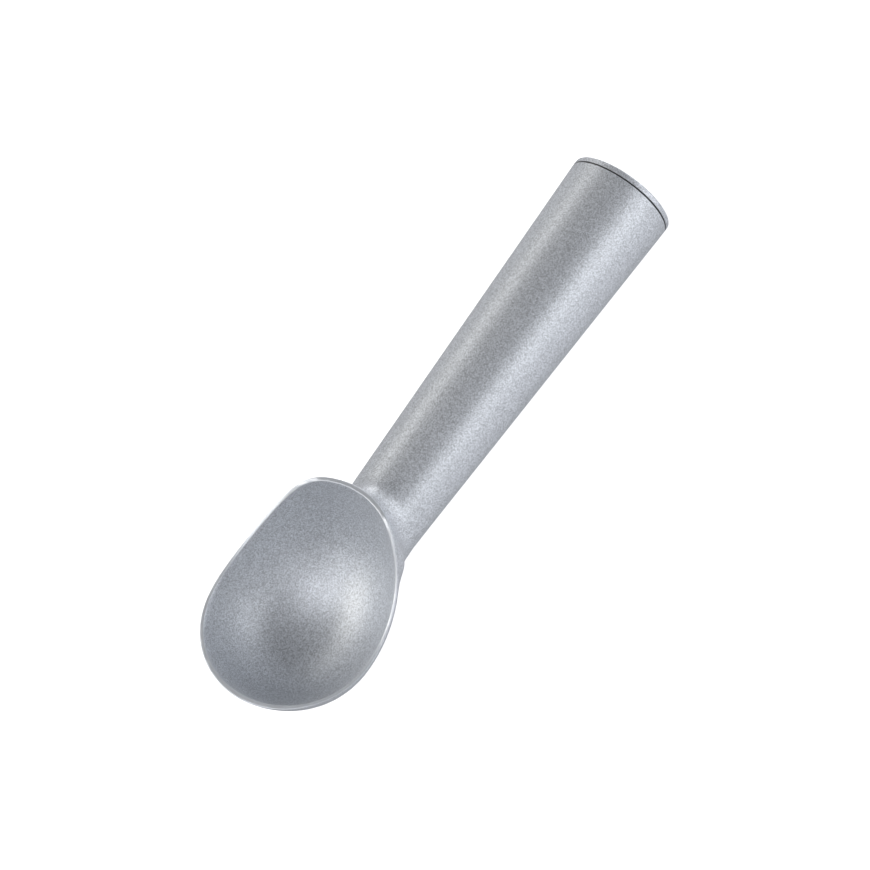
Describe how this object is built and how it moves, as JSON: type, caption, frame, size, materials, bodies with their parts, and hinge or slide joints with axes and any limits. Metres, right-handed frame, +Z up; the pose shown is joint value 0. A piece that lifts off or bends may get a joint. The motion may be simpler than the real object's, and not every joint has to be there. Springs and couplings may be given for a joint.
{
  "type": "ice cream scoop",
  "caption": "Leverless ice cream scoop: cast aluminium bowl with a raised back wall and a hollow, tapered handle filled with liquid and closed by a sealed screw plug.",
  "frame": {"origin": "on the table that the scoop lies on, under the middle of its length, in its plane of symmetry", "axes": "+X along the handle from the end plug to the bowl's tip, +Z up out of the open bowl, +Y to the left when looking along +X"},
  "size_m": [0.185, 0.0524, 0.0405],
  "materials": {
    "cast_aluminium": "satin",
    "plug_aluminium": "satin",
    "seal_rubber": "matte",
    "heat_liquid": "gloss"
  },
  "bodies": {
    "casting": {"scoop_body": "cast_aluminium", "heat_liquid": "heat_liquid"},
    "seal": {"seal_ring": "seal_rubber"},
    "plug": {"end_plug": "plug_aluminium"}
  },
  "joints": [
    {"name": "plug_travel", "type": "slide", "parent": "casting", "child": "seal", "axis": [-1, 0, 0], "range_m": [0, 0.00751]},
    {"name": "plug_turn", "type": "hinge", "parent": "seal", "child": "plug", "pos_m": [-0.0925, 0, 0.0163], "axis": [-1, 0, 0], "range_deg": [0, 1800]}
  ],
  "couplings": [
    {"joint": "plug_travel", "follows": "plug_turn", "m_per_rad": 0.00023873}
  ]
}
